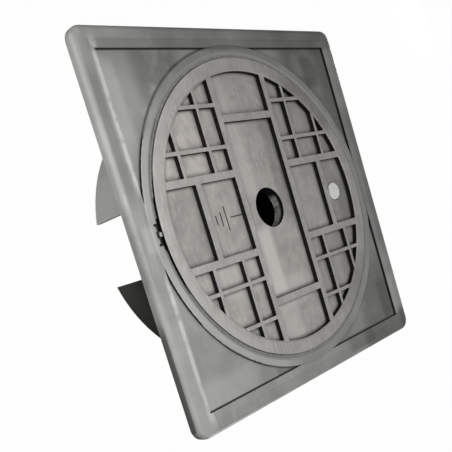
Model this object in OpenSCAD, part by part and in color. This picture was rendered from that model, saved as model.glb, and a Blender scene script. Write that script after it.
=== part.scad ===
// Square surround with a round hinged lid, a quarter-turn lock and four
// anchoring legs, set over the head of an earth rod.
// The feet stand on z = 0, the plate's centre is on the z axis, the hinge
// lies at -X and the lock at +X.

/* [Surround] */
// Height from the feet to the top face
height = 73; // [64:1:110]
// Radius of the plate's corners seen from above
corner_r = 9; // [7:0.5:14]
// Rounding of the plate's top outer edge
edge_r = 4; // [2:0.5:4.5]
// Depth of the plate's outer side wall
edge_depth = 7.3; // [6.8:0.1:9]
// Flat and bevel of the rim, from the outer side to the corner panels
rim_w = 14.1; // [13:0.1:17]
// Width of the rim's inner bevel
bevel_w = 4.5; // [2:0.5:6]
// Height of the rim's inner bevel
bevel_h = 0.9; // [0.5:0.1:1.4]
// Depth of the four corner panels below the top face
panel_depth = 2.5; // [1.8:0.1:2.8]
// Wall thickness of the plate seen from below
skin_t = 3.2; // [2.6:0.1:3.6]
// Thickness of the plate's outer side wall
side_t = 4; // [3:0.25:5]
// Thickness of the ribs below the plate
plate_rib_t = 2.2; // [1.6:0.1:3]
// Angle between the ribs below each corner
plate_rib_step = 15; // [12:0.5:18]

/* [Collar and seat] */
// Width of the raised collar round the lid
collar_w = 7.3; // [6.8:0.1:9]
// How far the collar reaches into the rim on each of its four sides
collar_in_rim = 1.7; // [1.2:0.1:3]
// Depth of the collar's top below the lid's and the rim's
collar_drop = 0.4; // [0:0.1:0.6]
// Rounding of the collar's outer edge
collar_edge_r = 0.8; // [0.3:0.1:1.2]
// Rounding of the mouth that the lid drops into
mouth_r = 2.4; // [1.6:0.1:3]
// Wall of the well below the collar
well_t = 3.7; // [3:0.1:5]
// Width of the ledge that the lid rests on
ledge_w = 9.4; // [8:0.2:12]
// Thickness of that ledge
ledge_t = 4; // [3:0.25:5]

/* [Legs] */
// Thickness of the legs
leg_t = 3.5; // [2.5:0.25:4.5]
// Width of the cable entry between two legs
entry_w = 44.4; // [34:0.4:60]
// Thickness of the fins that stiffen the legs
fin_t = 2.4; // [1.8:0.2:3.2]
// Height of the fins below the well
fin_h = 20; // [12:1:24]
// Height of the fins where they meet the outside of the well
fin_tip = 1; // [0.5:0.25:4]
// Angle from the middle of a leg to each of its fins
fin_angle = 18; // [12:1:24]

/* [Lid] */
// Diameter of the lid
lid_d = 212.4; // [208:0.4:216]
// Gap between the lid and the collar all round
lid_gap = 1.1; // [0.9:0.1:1.4]
// Thickness of the lid's flange on the ledge
flange_t = 9; // [8:0.5:10]
// Rounding of the lid's top edge
lid_edge_r = 1; // [0.6:0.1:1.4]
// Width of the flat ring round the pattern
ring_w = 9.7; // [8.5:0.1:11]
// Depth of the pattern's fields below the ring
pattern_depth = 4.4; // [3.6:0.1:4.8]
// Depth of the pattern's ribs below the ring
rib_drop = 0.8; // [0.3:0.1:1.2]
// Ledge at the ribs' level between the fields and the ring's bevel
ring_ledge = 0.3; // [0.2:0.1:0.8]
// Thickness of the lid below the pattern
floor_t = 3; // [2.6:0.1:3.6]
// Gap between the lid's spigot and the ledge
spigot_gap = 1; // [0.6:0.1:2]
// Thickness of the spigot
spigot_t = 4.5; // [3:0.5:6]
// Depth of the spigot and hub below the top face
spigot_depth = 13.3; // [12.4:0.1:15]
// Diameter of the round hole in the middle
hole_d = 28.6; // [20:0.2:34]
// Wall of the hub round the hole
hub_t = 4.2; // [3:0.2:6]
// Thickness of the stiffening ribs below the lid
lid_rib_t = 3; // [2:0.2:4]
// How far those ribs end above the spigot's lower edge
rib_short = 1; // [0.5:0.25:3]

/* [Pattern] */
// Width of the wide ribs
wide_rib = 5; // [3:0.2:6]
// Width of the thin ribs
thin_rib = 2.6; // [1.6:0.2:3.4]
// From the middle to the wide ribs on both sides of the centre column
column_x = 25; // [22:0.5:28]
// From the middle to the wide ribs across the centre column
column_y = 62.2; // [50:0.2:66]
// From the middle to the wide ribs that part the side panels
side_x = 62.8; // [56:0.2:66]
// From the middle to the first thin ribs
thin_1 = 44.8; // [38:0.2:50]
// From the middle to the second thin ribs
thin_2 = 73; // [70:0.2:80]

/* [Earth symbol] */
// Width of the engraved lines
line_w = 0.9; // [0.5:0.1:1.4]
// Depth of the engraved lines
line_depth = 0.5; // [0.2:0.1:0.8]
// Length of the longest bar
bar_1 = 16.8; // [12:0.4:20]
// Length of the middle bar
bar_2 = 9.6; // [7:0.2:11.6]
// Length of the shortest bar
bar_3 = 6.4; // [3:0.2:6.8]
// Spacing of the bars
symbol_step = 4.7; // [3:0.1:5]
// Length of the stem, which starts at the centre column
stem_l = 12; // [8:0.2:13]
// Gap between the longest bar and the stem
stem_gap = 3.4; // [1:0.2:3.6]

/* [Hinge] */
// Diameter of the hinge pin
pin_d = 2; // [1.5:0.1:2.4]
// How far the pin reaches into the collar at each end
pin_grip = 3; // [2:0.25:4]
// Radial running clearance of the lid's eye on the pin
pin_gap = 0.05; // [0.02:0.01:0.1]
// Radial clearance of the pin's ends in the collar
grip_gap = 0.02; // [0.01:0.01:0.05]
// Diameter of the lid's hinge eye
eye_d = 4.2; // [4:0.1:4.6]
// Width of the hinge eye
eye_w = 2.8; // [2.2:0.1:4]
// From the lid's edge out to the pin's axis
pin_out = 2.3; // [2.1:0.1:2.6]
// Clearance of the collar round the eye
socket_gap = 0.6; // [0.4:0.05:0.8]
// Length of the pocket in the collar
pocket_l = 13.8; // [11:0.2:18]
// How far the pocket reaches out past the mouth
pocket_out = 3; // [2.2:0.1:3.4]
// Width of the slot at each end of the pocket
slot_w = 1.6; // [1:0.1:2]
// How far the end slots reach past the pocket
slot_out = 1.1; // [0.8:0.1:2]
// Depth of the pocket below the top face
pocket_depth = 6; // [5:0.25:7]

/* [Lock] */
// Distance of the lock from the edge of the pattern
lock_edge = 17.1; // [16:0.1:19]
// Diameter of the lock's round head
head_d = 13.6; // [12.6:0.2:14.4]
// Height of the head above the floor of its panel
head_proud = 1.2; // [0.6:0.1:2]
// Depth of the head's seat below that floor
head_sunk = 1; // [0.6:0.1:1.4]
// Gap round the head in its seat
head_gap = 0.7; // [0.4:0.1:1]
// Rounding of the head's edge
head_edge_r = 0.8; // [0.3:0.1:1]
// Width of the coin slot in the head
coin_w = 1.5; // [1:0.1:2]
// Depth of the coin slot
coin_depth = 0.9; // [0.5:0.1:1.2]
// Direction of the coin slot at rest
coin_angle = 76; // [0:2:178]
// Diameter of the spindle
spindle_d = 10; // [9:0.2:10.6]
// Radial running clearance of the spindle
spindle_gap = 0.05; // [0.02:0.01:0.1]
// Wall of the boss round the spindle
boss_t = 3.4; // [2.6:0.2:4]
// Width across the spindle's square end
square_w = 6.6; // [6:0.1:7]
// Clearance of the cam on the square end
square_gap = 0.05; // [0.02:0.01:0.1]
// Gap between the cam and what lies above it
cam_gap = 0.3; // [0.15:0.05:0.5]
// Thickness of the cam
cam_t = 3; // [2:0.25:4]
// Width of the cam's arm
cam_w = 11.6; // [10.8:0.2:12.4]
// How far the cam reaches past the ledge's inner edge when it is locked
cam_grip = 4.4; // [3:0.2:5]
// Diameter of the screw that holds the cam
screw_d = 4; // [3:0.5:4]
// Length of that screw below its head
screw_l = 12; // [9:0.5:12.5]
// Diameter of the screw's head
screw_head_d = 7; // [6:0.25:9]
// Height of the screw's head
screw_head_h = 2.8; // [2:0.1:4]
// Width across the corners of its hexagon socket
hex_w = 2.9; // [2:0.1:4]
// Depth of that socket
hex_depth = 1.7; // [1:0.1:1.9]
// Radial clearance of the screw in the spindle
screw_gap = 0.05; // [0.02:0.01:0.1]
// Radial clearance of the washer on the screw
washer_gap = 0.15; // [0.1:0.05:0.4]
// Thickness of the washer below the cam
washer_t = 1; // [0.8:0.1:1.6]
// Diameter of the washer
washer_d = 12; // [10:0.2:14]

/* [Hidden] */
$fn = 96;
eps = 0.01;
over = 1;

lid_r = lid_d / 2;
mouth_rad = lid_r + lid_gap;
collar_r = mouth_rad + collar_w;
well_r = mouth_rad + well_t;
bore_r = mouth_rad - ledge_w;
leg_r = bore_r + leg_t;

panel_w = collar_r - collar_in_rim;
half_w = panel_w + rim_w;
plate_z = height - edge_depth;
collar_z = height - collar_drop;
seat_z = height - flange_t;
ledge_z = seat_z - ledge_t;

pattern_r = lid_r - ring_w;
floor_z = height - pattern_depth;
rib_z = height - rib_drop;
ceiling_z = floor_z - floor_t;
spigot_z = height - spigot_depth;
spigot_r = bore_r - spigot_gap;
hole_r = hole_d / 2;
hub_r = hole_r + hub_t;

pin_x = -(lid_r + pin_out);
pin_z = height - eye_d / 2;
pocket_x = -(mouth_rad + pocket_out);
pin_l = pocket_l + 2 * pin_grip;

lock_x = pattern_r - lock_edge;
head_r = head_d / 2;
head_seat_z = floor_z - head_sunk;
head_top_z = floor_z + head_proud;
spindle_r = spindle_d / 2;
boss_r = spindle_r + spindle_gap + boss_t;
cam_top_z = min(ledge_z, spigot_z) - cam_gap;
boss_z = cam_top_z + cam_gap;
cam_z = cam_top_z - cam_t;
cam_l = bore_r + cam_grip - lock_x;
washer_z = cam_z - washer_t;

// Square with rounded corners
module rounded_square(half, r) {
    square([2 * half, 2 * (half - r)], center = true);
    square([2 * (half - r), 2 * half], center = true);
    for (sx = [-1, 1], sy = [-1, 1])
        translate([sx * (half - r), sy * (half - r)]) circle(r);
}

// Section of the plate's edge, from the corner's centre outwards
module edge_section() {
    square([corner_r - edge_r, edge_depth]);
    square([corner_r, edge_depth - edge_r]);
    translate([corner_r - edge_r, edge_depth - edge_r]) circle(edge_r);
}

// Plate with rounded corners and a rounded top edge, flat below
module plate_block() {
    inner = half_w - corner_r;
    translate([-inner, -inner, 0]) cube([2 * inner, 2 * inner, edge_depth]);
    for (a = [0:90:270]) rotate(a) {
        translate([inner, inner, 0])
            rotate_extrude(angle = 90) edge_section();
        translate([inner, inner, 0])
            rotate([90, 0, 0]) linear_extrude(2 * inner) edge_section();
    }
}

// Ring section with a rounded top edge on its outer side
module collar_block() {
    rotate_extrude() {
        square([collar_r - collar_edge_r, collar_z]);
        square([collar_r, collar_z - collar_edge_r]);
        translate([collar_r - collar_edge_r, collar_z - collar_edge_r]) circle(collar_edge_r);
    }
}

// The four sunk corner panels with the rim's bevel round them, and what lies over the collar
module corner_panels() {
    bevel_z = height - bevel_h;
    out = panel_w + bevel_w;
    difference() {
        union() {
            translate([-panel_w, -panel_w, height - panel_depth])
                cube([2 * panel_w, 2 * panel_w, panel_depth + over]);
            hull() {
                translate([-panel_w, -panel_w, bevel_z]) cube([2 * panel_w, 2 * panel_w, eps]);
                translate([-out, -out, height]) cube([2 * out, 2 * out, over]);
            }
        }
        collar_block();
    }
}

// Mouth that the lid drops into, rounded at the top
module mouth() {
    translate([0, 0, seat_z]) cylinder(r = mouth_rad, h = flange_t + over);
    rotate_extrude() difference() {
        translate([mouth_rad - over, collar_z - mouth_r]) square([mouth_r + over, mouth_r + over]);
        translate([mouth_rad + mouth_r, collar_z - mouth_r]) circle(mouth_r);
    }
}

// Hollow below the plate between its side wall and the well
module plate_hollow() {
    inner = half_w - side_t;
    inner_r = corner_r - side_t;
    low_ceiling = height - panel_depth - skin_t;
    high_ceiling = height - skin_t - bevel_h;
    base_z = plate_z - over;
    difference() {
        translate([0, 0, base_z]) {
            linear_extrude(low_ceiling - base_z) rounded_square(inner, inner_r);
            linear_extrude(high_ceiling - base_z) difference() {
                rounded_square(inner, inner_r);
                square(2 * (panel_w + bevel_w), center = true);
            }
        }
        translate([0, 0, base_z - over]) cylinder(r = well_r, h = height);
        for (q = [45:90:315], a = [-1, 0, 1]) rotate(q + a * plate_rib_step)
            translate([well_r - over, -plate_rib_t / 2, base_z - over])
                cube([half_w, plate_rib_t, height]);
    }
}

// Curved legs below the ledge, parted by the cable entries
module legs() {
    difference() {
        cylinder(r = leg_r, h = seat_z);
        translate([0, 0, -over]) cylinder(r = bore_r, h = height);
        for (a = [0, 90]) rotate(a)
            translate([-well_r, -entry_w / 2, -over]) cube([2 * well_r, entry_w, ledge_z + over]);
    }
}

// Upright fin between a leg and the well
module leg_fin() {
    out = well_r - leg_r + leg_t / 2;
    translate([leg_r - leg_t / 2, fin_t / 2, 0]) rotate([90, 0, 0])
        linear_extrude(fin_t) polygon([
            [0, ledge_z - fin_h], [leg_t / 2, ledge_z - fin_h],
            [out, ledge_z - fin_tip], [out, ledge_z + eps], [0, ledge_z + eps]]);
}

// Pocket in the collar for the lid's hinge eye, with a slot at each end
module hinge_pocket() {
    z = height - pocket_depth;
    h = pocket_depth + over;
    socket_w = eye_w + 2 * socket_gap;
    socket_r = eye_d / 2 + socket_gap;
    translate([pocket_x, -pocket_l / 2, z]) cube([pocket_out + lid_gap, pocket_l, h]);
    for (s = [-1, 1])
        translate([pocket_x - slot_out, s * (pocket_l - slot_w) / 2 - slot_w / 2, z])
            cube([slot_out + over, slot_w, h]);
    translate([pin_x, socket_w / 2, pin_z]) rotate([90, 0, 0]) cylinder(r = socket_r, h = socket_w);
    translate([pin_x - socket_r, -socket_w / 2, pin_z]) cube([socket_r, socket_w, eye_d]);
}

// Moulded surround with the lid's seat and the legs
module frame() {
    color("gray") difference() {
        union() {
            difference() {
                translate([0, 0, plate_z]) plate_block();
                corner_panels();
                plate_hollow();
            }
            translate([0, 0, ledge_z]) cylinder(r = well_r, h = height - ledge_z - panel_depth);
            legs();
            for (q = [45:90:315], s = [-1, 1]) rotate(q + s * fin_angle) leg_fin();
        }
        mouth();
        translate([0, 0, ledge_z - over]) cylinder(r = bore_r, h = height);
        hinge_pocket();
        translate([pin_x, pin_l / 2 + eps, pin_z]) rotate([90, 0, 0])
            cylinder(d = pin_d + 2 * grip_gap, h = pin_l + 2 * eps);
    }
}

// Ribs that stand between the recessed fields, seen from above
module pattern_ribs() {
    reach = lid_r;
    side = column_x + wide_rib;
    for (mx = [0, 1], my = [0, 1]) mirror([mx, 0]) mirror([0, my]) {
        translate([column_x, 0]) square([wide_rib, reach]);
        translate([0, column_y]) square([side, wide_rib]);
        translate([column_x, column_x]) square([reach, wide_rib]);
        translate([side_x, 0]) square([wide_rib, side]);
        for (t = [thin_1, thin_2]) {
            translate([t, column_x]) square([thin_rib, reach]);
            translate([column_x, t]) square([reach, thin_rib]);
        }
    }
}

// Sunk fields of the pattern
module pattern_fields() {
    translate([0, 0, floor_z]) linear_extrude(pattern_depth + over) difference() {
        circle(pattern_r, $fn = 180);
        pattern_ribs();
    }
}

// Earth symbol: a stem and three bars that get shorter
module earth_symbol() {
    bars = [bar_1, bar_2, bar_3];
    bar_x = -(column_x + wide_rib + stem_l + stem_gap + line_w / 2);
    translate([0, 0, floor_z - line_depth]) linear_extrude(line_depth + over) {
        for (i = [0:2]) translate([bar_x - i * symbol_step, 0])
            square([line_w, bars[i]], center = true);
        translate([-column_x - wide_rib - stem_l, -line_w / 2]) square([stem_l, line_w]);
    }
}

// Round body of the lid: ring with a bevel down to the ribs, floor, spigot and hub
module lid_body() {
    rotate_extrude($fn = 180) {
        difference() {
            union() {
                translate([0, seat_z]) square([lid_r - lid_edge_r, flange_t]);
                translate([0, seat_z]) square([lid_r, flange_t - lid_edge_r]);
                translate([lid_r - lid_edge_r, height - lid_edge_r]) circle(lid_edge_r);
            }
            translate([-over, seat_z - over])
                square([spigot_r - spigot_t + over, ceiling_z - seat_z + over]);
            polygon([
                [-over, rib_z], [pattern_r + ring_ledge, rib_z],
                [pattern_r + ring_ledge + rib_drop + over, height + over], [-over, height + over]]);
        }
        translate([spigot_r - spigot_t, spigot_z]) square([spigot_t, seat_z - spigot_z + eps]);
        translate([0, spigot_z]) square([hub_r, ceiling_z - spigot_z + eps]);
    }
}

// Stiffening ribs that cross below the lid
module lid_under_ribs() {
    mid = column_x + wide_rib / 2;
    z = spigot_z + rib_short;
    intersection() {
        translate([0, 0, z]) cylinder(r = spigot_r - spigot_t / 2, h = ceiling_z - z + eps);
        for (a = [0, 90], s = [-1, 1]) rotate(a)
            translate([-lid_r, s * mid - lid_rib_t / 2, z]) cube([lid_d, lid_rib_t, height]);
    }
}

// Hinge eye and the tongue that carries it
module hinge_eye() {
    translate([pin_x, eye_w / 2, pin_z]) rotate([90, 0, 0]) cylinder(d = eye_d, h = eye_w);
    translate([pin_x, -eye_w / 2, pin_z - eye_d / 2])
        cube([pin_out + lid_edge_r + over, eye_w, eye_d]);
}

// Moulded lid
module lid() {
    color("darkgray") difference() {
        union() {
            difference() {
                lid_body();
                pattern_fields();
            }
            lid_under_ribs();
            translate([lock_x, 0, boss_z]) cylinder(r = boss_r, h = ceiling_z - boss_z + eps);
            hinge_eye();
        }
        translate([0, 0, spigot_z - over]) cylinder(r = hole_r, h = height);
        translate([lock_x, 0, boss_z - over]) cylinder(r = spindle_r + spindle_gap, h = height);
        translate([lock_x, 0, head_seat_z]) cylinder(r = head_r + head_gap, h = height);
        translate([pin_x, eye_w, pin_z]) rotate([90, 0, 0])
            cylinder(d = pin_d + 2 * pin_gap, h = 2 * eye_w);
        earth_symbol();
    }
}

// Steel pin of the hinge
module hinge_pin() {
    color("dimgray") translate([pin_x, pin_l / 2, pin_z]) rotate([90, 0, 0])
        cylinder(d = pin_d, h = pin_l);
}

// Lock head with its spindle, moulded as one
module lock_head() {
    color("white") translate([lock_x, 0, 0]) difference() {
        union() {
            rotate_extrude() {
                translate([0, head_seat_z])
                    square([head_r, head_top_z - head_seat_z - head_edge_r]);
                translate([0, head_seat_z])
                    square([head_r - head_edge_r, head_top_z - head_seat_z]);
                translate([head_r - head_edge_r, head_top_z - head_edge_r]) circle(head_edge_r);
                translate([0, cam_top_z]) square([spindle_r, head_seat_z - cam_top_z + eps]);
            }
            translate([-square_w / 2, -square_w / 2, cam_z + square_gap])
                cube([square_w, square_w, cam_t]);
        }
        translate([0, 0, head_top_z - coin_depth]) rotate(coin_angle)
            translate([-head_d, -coin_w / 2, 0]) cube([2 * head_d, coin_w, coin_depth + over]);
        translate([0, 0, cam_z]) cylinder(d = screw_d + 2 * screw_gap, h = screw_l);
    }
}

// Arm that swings under the ledge, drawn turned aside
module lock_cam() {
    hole_w = square_w + 2 * square_gap;
    color("silver") translate([lock_x, 0, cam_z]) linear_extrude(cam_t) difference() {
        union() {
            circle(d = cam_w);
            intersection() {
                translate([-cam_w / 2, 0]) square([cam_w, cam_l]);
                circle(cam_l);
            }
        }
        square(hole_w, center = true);
    }
}

// Washer below the cam
module lock_washer() {
    color("silver") translate([lock_x, 0, washer_z]) difference() {
        cylinder(d = washer_d, h = washer_t);
        translate([0, 0, -over]) cylinder(d = screw_d + 2 * washer_gap, h = washer_t + 2 * over);
    }
}

// Socket screw that holds the cam on the spindle
module lock_screw() {
    color("gainsboro") translate([lock_x, 0, washer_z]) difference() {
        union() {
            translate([0, 0, -screw_head_h]) cylinder(d = screw_head_d, h = screw_head_h);
            cylinder(d = screw_d, h = screw_l);
        }
        translate([0, 0, -screw_head_h - over]) cylinder(d = hex_w, h = hex_depth + over, $fn = 6);
    }
}

frame();
lid();
hinge_pin();
lock_head();
lock_cam();
lock_washer();
lock_screw();
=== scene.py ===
from math import radians

import bpy
import numpy as np
from mathutils import Euler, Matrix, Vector


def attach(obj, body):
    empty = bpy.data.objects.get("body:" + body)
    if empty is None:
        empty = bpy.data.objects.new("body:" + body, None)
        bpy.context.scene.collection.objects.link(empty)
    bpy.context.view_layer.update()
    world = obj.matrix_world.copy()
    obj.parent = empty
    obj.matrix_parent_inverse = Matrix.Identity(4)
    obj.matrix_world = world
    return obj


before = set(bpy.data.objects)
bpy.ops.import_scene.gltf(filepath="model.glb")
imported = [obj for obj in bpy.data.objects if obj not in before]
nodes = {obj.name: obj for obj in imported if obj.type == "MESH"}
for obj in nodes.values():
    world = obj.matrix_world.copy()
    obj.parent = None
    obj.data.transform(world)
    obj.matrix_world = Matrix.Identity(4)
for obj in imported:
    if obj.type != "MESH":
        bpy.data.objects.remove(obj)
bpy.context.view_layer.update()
scene = bpy.context.scene
scene.view_settings.view_transform = "Standard"
print("frame loaded:", len(nodes), "nodes")

mm = 0.001


def linearColour(hexText):
    # each channel of an sRGB colour, taken through the sRGB curve to linear light
    values = [int(hexText[i:i + 2], 16) / 255 for i in (1, 3, 5)]
    linear = [v / 12.92 if v <= 0.04045 else ((v + 0.055) / 1.055) ** 2.4 for v in values]
    return (*linear, 1.0)


def addNode(tree, kind, settings=None, links=None):
    # settings are the node's own properties; links give each input a value, a socket or a node to read
    node = tree.nodes.new(kind)
    for name, value in (settings or {}).items():
        setattr(node, name, value)
    for name, value in (links or {}).items():
        if isinstance(value, bpy.types.Node):
            value = next(socket for socket in value.outputs if socket.enabled)
        if isinstance(value, bpy.types.NodeSocket):
            tree.links.new(value, node.inputs[name])
        else:
            node.inputs[name].default_value = value
    return node


def newMaterial(name):
    material = bpy.data.materials.new(name)
    material.use_nodes = True
    material.node_tree.nodes.clear()
    return material


def assignMaterial(nodeName, material):
    for slot in nodes[nodeName].material_slots:
        slot.material = material


# The camera looks from the hinge side and above, turned until the plate stands on its corner
cameraSetup = {
    "place": (-0.37045, -0.02330, 0.38346),
    "target": (-0.08094, -0.06919, 0.07300),
    "roll": 79.32,  # degrees, anticlockwise about the line of sight
    "lens": 53.32, "sensor": 36,  # mm
    "shiftY": 0.2323,
    "clipStart": 0.01,  # metres
}

cameraData = bpy.data.cameras.new("camera")
cameraData.lens = cameraSetup["lens"]
cameraData.sensor_width = cameraSetup["sensor"]
cameraData.sensor_fit = "HORIZONTAL"
cameraData.shift_y = cameraSetup["shiftY"]
cameraData.clip_start = cameraSetup["clipStart"]
camera = bpy.data.objects.new("camera", cameraData)
scene.collection.objects.link(camera)
camera.location = cameraSetup["place"]
sight = Vector(cameraSetup["target"]) - Vector(cameraSetup["place"])
turned = sight.to_track_quat("-Z", "Y") @ Euler((0, 0, radians(cameraSetup["roll"]))).to_quaternion()
camera.rotation_mode = "QUATERNION"
camera.rotation_quaternion = turned
scene.camera = camera
print("camera set")

lampSetup = [
    # name, place, size in metres, watts
    ("front", (-0.161, -0.278, 0.453), 0.25, 1.06),
    ("far", (0.321, 0.0, 0.453), 0.25, 0.46),
    ("hinge", (-0.255, 0.045, 0.245), 0.12, 0.50),
    ("side", (-0.45, 0.40, 0.11), 0.25, 1.1),
    # two low lamps for the sides that the main view doesn't show; they stay below the plate's top
    ("back", (0.46, 0.20, 0.036), 0.066, 0.8),
    ("right", (0.16, -0.48, 0.036), 0.066, 0.6),
]
lampAim = (0, 0, 0.07)
worldSetup = {"light": 0.05, "background": 1.0}
# sizes in metres; the round dark patch is painted shade, where the lid's hole shows the floor in the main
# view
floorSetup = {"half": 3.0, "drop": 0.0004, "colour": "#8c8c8a", "white": 0.985,
              "paintedShade": "#0d0c0b", "paintedShadePlace": (0.0745, 0.003), "paintedShadeRadius": 0.03, "paintedShadeEdge": 0.009}


def addLamp(name, place, size, watts):
    data = bpy.data.lights.new(name, "AREA")
    data.shape = "SQUARE"
    data.size = size
    data.energy = watts
    lamp = bpy.data.objects.new(name, data)
    scene.collection.objects.link(lamp)
    lamp.location = place
    lamp.rotation_mode = "QUATERNION"
    lamp.rotation_quaternion = (Vector(lampAim) - Vector(place)).to_track_quat("-Z", "Y")


for entry in lampSetup:
    addLamp(*entry)


def seenDirectly(tree):
    # 1 for camera and transmission rays, 0 for the light that the scene gets
    path = addNode(tree, "ShaderNodeLightPath")
    return addNode(tree, "ShaderNodeMath", {"operation": "MAXIMUM"},
                   {0: path.outputs["Is Camera Ray"], 1: path.outputs["Is Transmission Ray"]})


world = bpy.data.worlds.new("studio")
scene.world = world
world.use_nodes = True
tree = world.node_tree
tree.nodes.clear()
strength = addNode(tree, "ShaderNodeMapRange", {},
                   {"Value": addNode(tree, "ShaderNodeLightPath").outputs["Is Camera Ray"],
                    "To Min": worldSetup["light"], "To Max": worldSetup["background"]})
sky = addNode(tree, "ShaderNodeBackground", {}, {"Color": (1, 1, 1, 1), "Strength": strength})
addNode(tree, "ShaderNodeOutputWorld", {}, {"Surface": sky})


def studioFloor():
    # a flat square just below the feet
    half = floorSetup["half"]
    z = -floorSetup["drop"]
    mesh = bpy.data.meshes.new("floor")
    corners = [(-half, -half, z), (half, -half, z), (half, half, z), (-half, half, z)]
    mesh.from_pydata(corners, [], [(0, 1, 2, 3)])
    floor = bpy.data.objects.new("floor", mesh)
    scene.collection.objects.link(floor)
    material = newMaterial("studio_floor_paper")
    tree = material.node_tree
    glow = addNode(tree, "ShaderNodeEmission", {}, {"Color": (1, 1, 1, 1), "Strength": 1.0})
    # the patch that shows through the lid's hole is painted dark as shade
    place = addNode(tree, "ShaderNodeTexCoord")
    away = addNode(tree, "ShaderNodeVectorMath", {"operation": "DISTANCE"},
                   {0: place.outputs["Object"], 1: (*floorSetup["paintedShadePlace"], z)})
    outside = addNode(tree, "ShaderNodeMapRange", {},
                      {"Value": away, "From Min": floorSetup["paintedShadeRadius"] - floorSetup["paintedShadeEdge"],
                       "From Max": floorSetup["paintedShadeRadius"], "To Max": floorSetup["white"]})
    paperAndShade = addNode(tree, "ShaderNodeMix", {"data_type": "RGBA"},
                     {"Factor": outside, "A": linearColour(floorSetup["paintedShade"]),
                      "B": linearColour(floorSetup["colour"])})
    paper = addNode(tree, "ShaderNodeBsdfDiffuse", {}, {"Color": paperAndShade})
    share = addNode(tree, "ShaderNodeMath", {"operation": "MULTIPLY"}, {0: seenDirectly(tree), 1: outside})
    mix = addNode(tree, "ShaderNodeMixShader", {}, {0: share, 1: paper, 2: glow})
    addNode(tree, "ShaderNodeOutputMaterial", {}, {"Surface": mix})
    mesh.materials.append(material)


studioFloor()
print("lamps, world and floor set")


def inMillimetres(tree):
    source = addNode(tree, "ShaderNodeTexCoord")
    spot = addNode(tree, "ShaderNodeVectorMath", {"operation": "SCALE"},
                   {0: source.outputs["Object"], "Scale": 1 / mm})
    return source, spot


def measurePlaces(tree):
    # what the stains, painted light and painted shade are placed by: millimetres from the plate's centre,
    # degrees round it, and how level a face lies
    source, spot = inMillimetres(tree)
    at = addNode(tree, "ShaderNodeSeparateXYZ", {}, {0: spot})
    facing = addNode(tree, "ShaderNodeSeparateXYZ", {}, {0: source.outputs["Normal"]})
    level = addNode(tree, "ShaderNodeMath", {"operation": "ABSOLUTE"}, {0: facing.outputs["Z"]})
    flat = addNode(tree, "ShaderNodeCombineXYZ", {}, {0: at.outputs["X"], 1: at.outputs["Y"]})
    radius = addNode(tree, "ShaderNodeVectorMath", {"operation": "LENGTH"}, {0: flat})
    sides = addNode(tree, "ShaderNodeVectorMath", {"operation": "ABSOLUTE"}, {0: spot})
    side = addNode(tree, "ShaderNodeSeparateXYZ", {}, {0: sides})
    reach = addNode(tree, "ShaderNodeMath", {"operation": "MAXIMUM"},
                    {0: side.outputs["X"], 1: side.outputs["Y"]})
    turn = addNode(tree, "ShaderNodeMath", {"operation": "ARCTAN2"}, {0: at.outputs["Y"], 1: at.outputs["X"]})
    degrees = addNode(tree, "ShaderNodeMath", {"operation": "DEGREES"}, {0: turn})
    return {"spot": spot, "x": at.outputs["X"], "y": at.outputs["Y"], "z": at.outputs["Z"],
            "across": side.outputs["Y"], "radius": radius, "reach": reach, "turn": degrees, "level": level}


def cloudy(tree, spot, size, low, high, stretch=(1, 1, 1)):
    # 0 to 1 in soft patches about size millimetres wide, drawn out along an axis by its stretch
    scale = tuple(1 / (size * s) for s in stretch)
    spread = addNode(tree, "ShaderNodeVectorMath", {"operation": "MULTIPLY"}, {0: spot, 1: scale})
    noise = addNode(tree, "ShaderNodeTexNoise", {"noise_dimensions": "3D"},
                    {"Vector": spread, "Scale": 1.0, "Detail": 4.0, "Roughness": 0.55})
    return addNode(tree, "ShaderNodeMapRange", {"interpolation_type": "SMOOTHSTEP"},
                   {"Value": noise.outputs[0], "From Min": low, "From Max": high})


def stainedAndShaded(tree, colour, places, stainsAndPaintedLight):
    # a stain, painted highlight or painted shade covers where each place that it names lies between two
    # numbers, and fades out over a third
    for overlay in stainsAndPaintedLight:
        share = overlay["share"]
        for name, (low, high, fade) in overlay["where"].items():
            off = addNode(tree, "ShaderNodeMath", {"operation": "SUBTRACT"},
                          {0: places[name], 1: (low + high) / 2})
            away = addNode(tree, "ShaderNodeMath", {"operation": "ABSOLUTE"}, {0: off})
            half = (high - low) / 2
            inside = addNode(tree, "ShaderNodeMapRange", {"interpolation_type": "SMOOTHSTEP"},
                             {"Value": away, "From Min": half + fade, "From Max": half})
            share = addNode(tree, "ShaderNodeMath", {"operation": "MULTIPLY"}, {0: inside, 1: share})
        if "patches" in overlay:
            patches = cloudy(tree, places["spot"], *overlay["patches"])
            share = addNode(tree, "ShaderNodeMath", {"operation": "MULTIPLY"}, {0: patches, 1: share})
        colour = addNode(tree, "ShaderNodeMix",
                         {"data_type": "RGBA", "blend_type": overlay.get("blend", "MIX")},
                         {"Factor": share, "A": colour, "B": linearColour(overlay["colour"])})
    return colour


# what both mouldings share: spans of noise that the clouds and the roughness follow, how far the roughness
# swings, how strong wave and grain are, and how open a corner is where painted shade begins and where it is
# full
skinSetup = {"cloudSpan": (0.33, 0.67), "waveSpan": (0.3, 0.7), "roughSwing": 0.07, "index": 1.49,
             "waveStrength": 0.6, "grainStrength": 0.5, "cornerShadeSpan": (0.85, 0.4), "cornerShadeSamples": 8}


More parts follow.
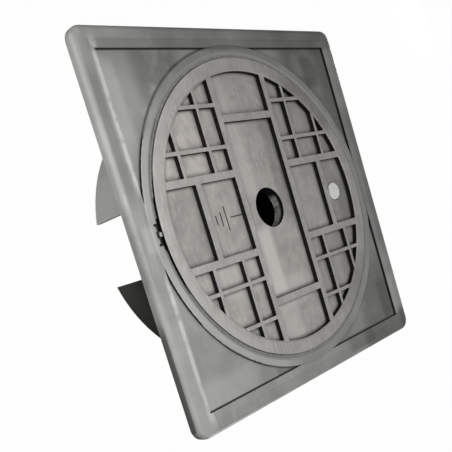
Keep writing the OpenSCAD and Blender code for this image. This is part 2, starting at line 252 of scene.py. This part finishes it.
def mouldedPlastic(name, finish):
    # injection-moulded filled polypropylene: a dull grey skin, cloudy where the melt cooled unevenly,
    # streaked along its flow, with a sand-textured grain and painted shade in its corners
    material = newMaterial(name)
    tree = material.node_tree
    places = measurePlaces(tree)
    spot = places["spot"]
    colour = addNode(tree, "ShaderNodeMix", {"data_type": "RGBA"},
                     {"Factor": cloudy(tree, spot, finish["cloud"], *skinSetup["cloudSpan"]),
                      "A": linearColour(finish["dim"]), "B": linearColour(finish["face"])})
    for mark in ("streak", "fleck"):
        look = finish[mark]
        amount = addNode(tree, "ShaderNodeMath", {"operation": "MULTIPLY"},
                         {0: cloudy(tree, spot, *look["patches"]), 1: look["share"]})
        colour = addNode(tree, "ShaderNodeMix", {"data_type": "RGBA"},
                         {"Factor": amount, "A": colour, "B": linearColour(look["colour"])})
    colour = stainedAndShaded(tree, colour, places, finish["stainsAndPaintedLight"])
    # painted shade where a face meets a wall within a few millimetres
    shelter = addNode(tree, "ShaderNodeAmbientOcclusion",
                      {"samples": skinSetup["cornerShadeSamples"], "only_local": True},
                      {"Distance": finish["cornerShadeReach"] * mm})
    begins, full = skinSetup["cornerShadeSpan"]
    cornerShadeAmount = addNode(tree, "ShaderNodeMapRange", {},
                      {"Value": shelter.outputs["AO"], "From Min": begins, "From Max": full,
                       "To Max": finish["cornerShadeShare"]})
    colour = addNode(tree, "ShaderNodeMix", {"data_type": "RGBA"},
                     {"Factor": cornerShadeAmount, "A": colour, "B": linearColour(finish["cornerShade"])})
    # the grain is drawn about three times as coarse as the real one, which is too fine to show
    grain = addNode(tree, "ShaderNodeTexNoise", {},
                    {"Vector": spot, "Scale": 1 / finish["grain"], "Detail": 3.0})
    wave = addNode(tree, "ShaderNodeTexNoise", {},
                   {"Vector": spot, "Scale": 1 / finish["wave"], "Detail": 2.0})
    sunk = addNode(tree, "ShaderNodeBump", {},
                   {"Height": wave.outputs[0], "Strength": skinSetup["waveStrength"],
                    "Distance": finish["waveDepth"] * mm})
    bump = addNode(tree, "ShaderNodeBump", {},
                   {"Height": grain.outputs[0], "Strength": skinSetup["grainStrength"],
                    "Distance": finish["grainDepth"] * mm, "Normal": sunk})
    low, high = skinSetup["waveSpan"]
    rough = addNode(tree, "ShaderNodeMapRange", {},
                    {"Value": wave.outputs[0], "From Min": low, "From Max": high,
                     "To Min": finish["roughness"] - skinSetup["roughSwing"],
                     "To Max": finish["roughness"] + skinSetup["roughSwing"]})
    plastic = addNode(tree, "ShaderNodeBsdfPrincipled", {},
                      {"Base Color": colour, "Roughness": rough, "IOR": skinSetup["index"],
                       "Normal": bump, "Specular IOR Level": finish["shine"]})
    addNode(tree, "ShaderNodeOutputMaterial", {}, {"Surface": plastic})
    return material


# heights in millimetres that the stains, painted light and painted shade keep to, each with its fade
panelTop = (69.5, 71.5, 0.1)
rimTop = (71, 80, 0.1)
panelsAndRim = (69, 80, 0.1)
fieldFloor = (60, 69, 0.1)
fullHeight = (60, 80, 0.1)

# Rim, panels, collar and legs; the places below are the plate's own sizes in millimetres
surroundFinish = {
    "face": "#949492", "dim": "#888886", "cloud": 24, "roughness": 0.5, "shine": 0.5,
    # the corner colour, its reach and its share paint shade where a face meets a wall
    "cornerShade": "#1c1b1a", "cornerShadeReach": 2.5, "cornerShadeShare": 0.55,
    "grain": 0.9, "grainDepth": 0.05, "wave": 9, "waveDepth": 0.12,
    "streak": {"colour": "#a6a6a4", "share": 0.3, "patches": (7, 0.5, 0.75, (1, 2.5, 1))},
    "fleck": {"colour": "#b8b8b6", "share": 0.3, "patches": (1.6, 0.66, 0.76)},
    "stainsAndPaintedLight": [
        # the rim's bevel on the hinge side, a painted highlight, and painted shade in a streak beside it
        {"colour": "#d3d3d1", "share": 0.85, "patches": (12, 0.2, 0.55),
         "where": {"x": (-115, -112.6, 2.6), "across": (34, 109, 14), "z": panelsAndRim}},
        {"colour": "#6c6c6a", "share": 0.5,
         "where": {"x": (-123.6, -119, 1.6), "y": (30, 92, 20), "z": (70, 80, 0.1)}},
        # painted light: paler on the panel beside that bevel, on the rim at the hinge, on the collar on both
        # sides of the hinge, and on the panel and the rim towards -Y
        {"colour": "#b9b9b7", "share": 0.4,
         "where": {"x": (-112, -105, 6), "y": (62, 98, 14), "z": panelTop}},
        {"colour": "#c8c8c6", "share": 0.3, "where": {"x": (-120, -114, 3), "y": (-7, 3, 6), "z": rimTop}},
        {"colour": "#b4b4b2", "share": 0.5,
         "where": {"radius": (109.4, 114.6, 0.5), "turn": (-160, -112, 16), "z": rimTop}},
        {"colour": "#b4b4b2", "share": 0.35,
         "where": {"radius": (107.5, 114.6, 0.5), "turn": (150, 172, 8), "z": rimTop}},
        {"colour": "#b4b4b2", "share": 0.4,
         "where": {"x": (-112, -72, 14), "y": (-112, -100, 9), "z": panelTop}},
        {"colour": "#bcbcba", "share": 0.25,
         "where": {"x": (-122, -112, 2), "y": (-120, -66, 20), "z": panelsAndRim}},
        # the rim's inner half towards +Y, darker as painted shade
        {"colour": "#8a8a89", "share": 0.35, "blend": "MULTIPLY",
         "where": {"x": (-108, 96, 16), "y": (112.5, 117, 2.2), "z": rimTop}},
        # painted light on the outer wall on the hinge side
        {"colour": "#c8c8c6", "share": 0.18,
         "where": {"x": (-130, -126.2, 0.8), "y": (30, 130, 30), "z": (60, 73, 1)}},
        # a stretch of the rim towards +Y, darker as painted shade
        {"colour": "#8a8a89", "share": 0.3, "blend": "MULTIPLY",
         "where": {"x": (-60, -14, 22), "y": (112, 130, 3), "z": rimTop}},
        # the panel on the lock side towards +Y, darkened in patches as painted shade, and a darker spot in it
        {"colour": "#8f8f8e", "share": 0.62, "blend": "MULTIPLY", "patches": (34, 0.2, 0.55),
         "where": {"x": (66, 112, 20), "y": (50, 112, 30), "z": panelTop}},
        {"colour": "#5c5c5b", "share": 0.5, "blend": "MULTIPLY",
         "where": {"x": (85, 92, 8), "y": (86, 103, 8), "z": panelTop}},
        # a darker spot on the panel towards -Y, and the collar towards +Y darker as painted shade
        {"colour": "#8a8a89", "share": 0.45, "blend": "MULTIPLY",
         "where": {"x": (-40, -24, 8), "y": (-112, -106, 4), "z": panelTop}},
        {"colour": "#8a8a89", "share": 0.25, "blend": "MULTIPLY",
         "where": {"radius": (107.5, 114.6, 0.5), "turn": (70, 130, 12), "z": rimTop}},
        # painted shade on the panel on the lock side towards -Y, and on the rim on three sides of the lock
        {"colour": "#8f8f8e", "share": 0.45, "blend": "MULTIPLY", "patches": (30, 0.2, 0.5),
         "where": {"x": (80, 112, 18), "y": (-106, -70, 18), "z": panelTop}},
        {"colour": "#8a8a89", "share": 0.42, "blend": "MULTIPLY",
         "where": {"x": (60, 110, 90), "y": (113, 130, 3)}},
        {"colour": "#8a8a89", "share": 0.4, "blend": "MULTIPLY",
         "where": {"x": (114, 130, 5), "y": (-44, 52, 24)}},
        {"colour": "#8a8a89", "share": 0.52, "blend": "MULTIPLY",
         "where": {"x": (66, 112, 10), "y": (-130, -113, 3)}},
        {"colour": "#8a8a89", "share": 0.4, "blend": "MULTIPLY",
         "where": {"x": (44, 70, 8), "y": (-122, -112, 2), "z": panelsAndRim}},
        # painted shade on the panel's outer corner there
        {"colour": "#8a8a89", "share": 0.4, "blend": "MULTIPLY",
         "where": {"x": (101, 112, 6), "y": (-108, -84, 8), "z": panelTop}},
        # the rim's outer edge at the hinge, a little darker, and a paler patch on the rim on the lock side
        {"colour": "#8a8a89", "share": 0.16, "blend": "MULTIPLY",
         "where": {"x": (-128, -124, 1.5), "y": (-24, 14, 10), "z": (66, 80, 1)}},
        {"colour": "#b9b9b7", "share": 0.3,
         "where": {"x": (114, 124, 3), "y": (-104, -84, 12), "z": rimTop}},
        # the corner towards +X and -Y, darker as painted shade, and the panel on the hinge side towards +Y,
        # darker in patches
        {"colour": "#8a8a89", "share": 0.6, "blend": "MULTIPLY",
         "where": {"x": (118, 130, 4), "y": (-130, -112, 7), "z": fullHeight}},
        {"colour": "#8a8a89", "share": 0.5, "blend": "MULTIPLY", "patches": (20, 0.25, 0.5),
         "where": {"x": (-82, -56, 12), "y": (84, 108, 12), "z": panelTop}},
        # painted shade in the corner at the foot of the rim
        {"colour": "#2c2c2b", "share": 0.85,
         "where": {"x": (-111.5, 115, 0.6), "reach": (112.2, 113.2, 0.4), "z": (69.5, 70.9, 0.1)}},
        # steep walls inside the rim, near black, thinner on the collar towards +Y and round the mouth
        {"colour": "#090908", "share": 1.0,
         "where": {"level": (0, 0.42, 0.2), "reach": (0, 113.4, 0.2), "z": (68.9, 80, 0.1)}},
        {"colour": "#6a6a68", "share": 0.85,
         "where": {"level": (0, 0.9, 0.1), "radius": (113.4, 115, 0.1), "turn": (95, 146, 6),
                   "z": panelsAndRim}},
        {"colour": "#8a8a88", "share": 0.9, "where": {"radius": (107.2, 110, 0.1), "z": (70.2, 80, 0.3)}},
        # painted light on the leg towards +Y, paler near its foot
        {"colour": "#cfcfcd", "share": 0.42,
         "where": {"y": (12, 130, 4), "z": (-5, 40, 20), "radius": (0, 112, 1)}},
        # painted shade on the legs below the plate towards -Y, near black on their steep faces just under the
        # plate
        {"colour": "#3c3c39", "share": 0.92,
         "where": {"y": (-130, -12, 10), "z": (-5, 66, 1), "radius": (0, 112, 1)}},
        {"colour": "#070707", "share": 0.96,
         "where": {"y": (-130, -12, 10), "z": (40, 66, 38), "radius": (0, 106.8, 0.3),
                   "level": (0, 0.3, 0.1)}},
        # the outer wall's end towards -Y, a painted highlight along its edge and painted shade below
        {"colour": "#b9b9b7", "share": 0.18,
         "where": {"x": (-126, -123, 1.2), "y": (-130, -50, 24), "z": (70, 80, 0.2)}},
        {"colour": "#434342", "share": 0.8,
         "where": {"x": (-130, -126.75, 0.3), "y": (-130, -62, 16), "z": (60, 71.4, 0.5)}},
        # the hinge pocket, painted near black as shade
        {"colour": "#060606", "share": 1.0,
         "where": {"radius": (103, 112.4, 0.1), "across": (0, 9.5, 0.1), "x": (-115, -100, 1),
                   "z": (62, 72.35, 0.1)}},
    ],
}

# Ring, ribs and fields
lidFinish = {
    "face": "#a6a4a0", "dim": "#9a9894", "cloud": 13, "roughness": 0.55, "shine": 0.28,
    # the corner colour, its reach and its share paint shade where a face meets a wall
    "cornerShade": "#12100f", "cornerShadeReach": 3.2, "cornerShadeShare": 0.7,
    "grain": 0.9, "grainDepth": 0.05, "wave": 7, "waveDepth": 0.12,
    "streak": {"colour": "#c2c0bb", "share": 0.4, "patches": (2.2, 0.48, 0.72, (1, 4, 1))},
    "fleck": {"colour": "#cfccc7", "share": 0.4, "patches": (1.4, 0.64, 0.76)},
    "stainsAndPaintedLight": [
        # fields painted paler as light and a little pink above the hinge, and darker towards the lock as
        # painted shade
        {"colour": "#d2c9c3", "share": 0.48, "patches": (9, 0.3, 0.62),
         "where": {"x": (-110, -44, 16), "y": (30, 110, 16), "z": fieldFloor}},
        {"colour": "#c4bfb6", "share": 0.2, "patches": (7, 0.45, 0.6),
         "where": {"x": (-110, 30, 20), "z": fieldFloor}},
        {"colour": "#86847f", "share": 0.5, "patches": (9, 0.25, 0.55),
         "where": {"x": (68, 110, 8), "z": fieldFloor}},
        {"colour": "#86847f", "share": 0.15,
         "where": {"x": (34, 70, 6), "across": (34, 110, 8), "z": fieldFloor}},
        # the centre column, paler in places, most of all below the hole
        {"colour": "#d3d1cc", "share": 0.62,
         "where": {"x": (-24, -10, 6), "y": (-58, -17, 8), "z": fieldFloor}},
        {"colour": "#cbc9c4", "share": 0.45,
         "where": {"x": (-18, 12, 9), "y": (-66, -56, 10), "z": fieldFloor}},
        {"colour": "#cbc9c4", "share": 0.4,
         "where": {"x": (-26, -12, 8), "y": (14, 62, 12), "z": fieldFloor}},
        {"colour": "#cbc9c4", "share": 0.38,
         "where": {"x": (-24, -6, 8), "y": (-97, -68, 6), "z": fieldFloor}},
        # a darker spot of the field beside the hinge
        {"colour": "#8f8f8e", "share": 0.25, "blend": "MULTIPLY",
         "where": {"x": (-92, -70, 6), "y": (-24, 30, 6), "z": fieldFloor}},
        # the column's end towards +Y, paler, and painted shade on its lock side and at the lock
        {"colour": "#cbc9c4", "share": 0.3,
         "where": {"x": (-24, -16, 6), "y": (68, 97, 6), "z": fieldFloor}},
        {"colour": "#8f8f8e", "share": 0.32, "blend": "MULTIPLY",
         "where": {"x": (16, 26, 6), "y": (-6, 64, 12), "z": fieldFloor}},
        {"colour": "#8f8f8e", "share": 0.3, "blend": "MULTIPLY",
         "where": {"x": (84, 96, 5), "y": (-24, 4, 8), "z": fieldFloor}},
        # the ring, painted paler as light on the hinge side and darker as painted shade on the other
        {"colour": "#bbb9b5", "share": 0.22,
         "where": {"radius": (102, 107, 2), "x": (-110, -60, 20), "z": rimTop}},
        {"colour": "#8f8f8e", "share": 0.45, "blend": "MULTIPLY",
         "where": {"radius": (96, 107, 0.5), "turn": (34, 58, 14), "z": rimTop}},
        {"colour": "#8f8f8e", "share": 0.3, "blend": "MULTIPLY",
         "where": {"radius": (96, 107, 0.5), "turn": (-54, -38, 14), "z": rimTop}},
        # steep walls of the sunk fields
        {"colour": "#080706", "share": 1.0,
         "where": {"level": (0, 0.42, 0.2), "radius": (0, 97.4, 0.1), "z": (68.62, 80, 0.01)}},
        # the lid's outer wall, darker, and near black on the hinge side as painted shade
        {"colour": "#4a4946", "share": 0.9, "where": {"level": (0, 0.5, 0.2), "radius": (105.4, 112, 0.1)}},
        {"colour": "#080706", "share": 1.0,
         "where": {"level": (0, 0.5, 0.2), "radius": (105.4, 112, 0.1), "x": (-112, -101.5, 2)}},
        # the engraved sign
        {"colour": "#181716", "share": 1.0,
         "where": {"x": (-62, -28, 0.1), "y": (-12, 12, 0.1), "z": (66, 68.4, 0.15)}},
        {"colour": "#6f6d69", "share": 0.85,
         "where": {"x": (-42, -28, 0.1), "across": (0, 1, 0.1), "z": (66, 68.4, 0.15)}},
        # painted shade in the gap between the hinge eye and the lid
        {"colour": "#060606", "share": 0.95,
         "where": {"radius": (106.3, 107.5, 0.15), "z": fullHeight}},
        # painted shade round the hinge eye, whose middle is left out
        {"colour": "#060606", "share": 1.0,
         "where": {"x": (-112, -106.4, 0.1), "across": (1.45, 4, 0.3), "z": fullHeight}},
        {"colour": "#060606", "share": 1.0,
         "where": {"x": (-112, -109.4, 0.3), "across": (0, 4, 0.1), "z": fullHeight}},
        # the field beside the sign, paler towards -Y
        {"colour": "#cbc9c4", "share": 0.3,
         "where": {"x": (-66, -32, 6), "y": (-50, -30, 6), "z": fieldFloor}},
        # the hole, painted black as shade but for the lower part of its far wall, painted grey as light
        {"colour": "#070706", "share": 1.0, "where": {"radius": (0, 15, 0.1), "level": (0, 0.5, 0.2)}},
        {"colour": "#8a8a88", "share": 0.9, "patches": (5, 0.3, 0.6),
         "where": {"radius": (0, 15, 0.1), "level": (0, 0.5, 0.2), "turn": (-60, 20, 20),
                   "z": (50, 64.5, 2)}},
    ],
}


markRoughness = 0.25  # how much rougher a small part's patches are than its own surface


def smallPartFinish(name, finish):
    # the part's own colour under rougher patches of a second one, and fine marks from its making
    material = newMaterial(name)
    tree = material.node_tree
    spot = inMillimetres(tree)[1]
    patches = cloudy(tree, spot, *finish["patches"])
    share = addNode(tree, "ShaderNodeMath", {"operation": "MULTIPLY"}, {0: patches, 1: finish["share"]})
    colour = addNode(tree, "ShaderNodeMix", {"data_type": "RGBA"},
                     {"Factor": share, "A": linearColour(finish["own"]), "B": linearColour(finish["mark"])})
    grain = addNode(tree, "ShaderNodeTexNoise", {},
                    {"Vector": spot, "Scale": 1 / finish["grain"], "Detail": 3.0})
    bump = addNode(tree, "ShaderNodeBump", {},
                   {"Height": grain.outputs[0], "Strength": 0.5, "Distance": finish["grainDepth"] * mm})
    rough = addNode(tree, "ShaderNodeMapRange", {},
                    {"Value": share, "To Min": finish["roughness"],
                     "To Max": finish["roughness"] + markRoughness})
    surface = addNode(tree, "ShaderNodeBsdfPrincipled", {},
                      {"Base Color": colour, "Roughness": rough, "Metallic": finish["metallic"],
                       "Normal": bump})
    addNode(tree, "ShaderNodeOutputMaterial", {}, {"Surface": surface})
    return material


# Lock head: white acetal moulded in a polished tool, with dirt in small flecks
lockHeadFinish = {"own": "#e8e8e4", "mark": "#8f8e89", "patches": (1.3, 0.6, 0.72), "share": 0.55,
                  "grain": 0.6, "grainDepth": 0.02, "roughness": 0.4, "metallic": 0.0}

# Lock arm, washer and screw: zinc-plated steel, stamped or cold-headed and plated in a barrel
lockSteelFinish = {"own": "#b6b7b8", "mark": "#8b8c8e", "patches": (2.2, 0.4, 0.6), "share": 0.7,
                   "grain": 0.5, "grainDepth": 0.015, "roughness": 0.34, "metallic": 1.0}

# Hinge pin: blackened steel, drawn wire oxidised in a hot bath and oiled, with rust beginning; drawn near
# black and without metal shine as painted shade of its pocket
pinFinish = {"own": "#0a0a0a", "mark": "#1f1815", "patches": (1.6, 0.5, 0.66), "share": 0.6,
             "grain": 0.4, "grainDepth": 0.02, "roughness": 0.65, "metallic": 0.0}

# Packed grit: dust and fine sand trodden into the seam between lid and collar
gritFinish = {"own": "#7a7a78", "mark": "#a5a4a0", "patches": (1.4, 0.45, 0.62), "share": 0.6,
              "grain": 0.7, "grainDepth": 0.12, "roughness": 0.72, "metallic": 0.0}

gritSetup = {
    # each run's start and end in degrees round the plate and its inner radius in mm; at the hinge the seam is
    # filled from the collar's side only, and the pocket stays open
    "runs": ((-174.6, -158, 106.95), (-158, 168, 106.3), (168, 174.6, 106.95)),
    # section as share of the way from the inner radius to the collar's wall and height in mm
    "section": ((0, 69.5), (0, 71.5), (0.46, 71.65), (1, 71.9), (0.58, 70.2), (0.58, 69.5)),
    # step in degrees; the points above topFrom in mm are uneven, smoothed over a window of steps
    "outer": 107.85, "step": 0.8, "topFrom": 71, "uneven": 0.12, "window": 9, "seed": 4,
}


def packedGrit():
    # each run swings the section's points about the z axis: x = r cos t, y = r sin t, with the top raised
    # and sunk by smoothed random numbers, four-cornered faces between neighbours and a cap at each end
    section = np.array(gritSetup["section"])
    points = len(section)
    window = gritSetup["window"]
    chance = np.random.default_rng(gritSetup["seed"])
    spots, faces = [], []
    for start, end, inner in gritSetup["runs"]:
        steps = int((end - start) / gritSetup["step"]) + 2
        first = len(spots)
        turn = np.radians(np.linspace(start, end, steps))[:, None]
        rough = np.convolve(chance.normal(size=steps + window - 1), np.ones(window) / window, "valid")
        rough = rough[:, None] * gritSetup["uneven"]
        radius = np.broadcast_to(inner + section[:, 0] * (gritSetup["outer"] - inner), (steps, points))
        height = section[:, 1] + rough * (section[:, 1] > gritSetup["topFrom"])
        spots += np.stack([radius * np.cos(turn), radius * np.sin(turn), height], 2).reshape(-1, 3).tolist()
        near = first + np.arange(steps - 1)[:, None] * points + np.arange(points)
        beyond = first + np.arange(steps - 1)[:, None] * points + (np.arange(points) + 1) % points
        faces += np.stack([near, near + points, beyond + points, beyond], 2).reshape(-1, 4).tolist()
        faces += [list(range(first, first + points)),
                  list(range(first + (steps - 1) * points, first + steps * points))[::-1]]
    mesh = bpy.data.meshes.new("packed_grit")
    mesh.from_pydata((np.array(spots) * mm).tolist(), [], faces)
    grit = bpy.data.objects.new("packed_grit", mesh)
    scene.collection.objects.link(grit)
    mesh.materials.append(smallPartFinish("packed_grit", gritFinish))
    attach(grit, "surround")


packedGrit()
print("seam filled")

assignMaterial("frame", mouldedPlastic("grey_polypropylene_surround", surroundFinish))
assignMaterial("lid", mouldedPlastic("grey_polypropylene_lid", lidFinish))
assignMaterial("lock_head", smallPartFinish("white_acetal_lock_head", lockHeadFinish))
lockSteel = smallPartFinish("zinc_plated_steel_lock", lockSteelFinish)
for name in ("lock_cam", "lock_washer", "lock_screw"):
    assignMaterial(name, lockSteel)
assignMaterial("hinge_pin", smallPartFinish("blackened_steel_pin", pinFinish))
print("materials assigned")
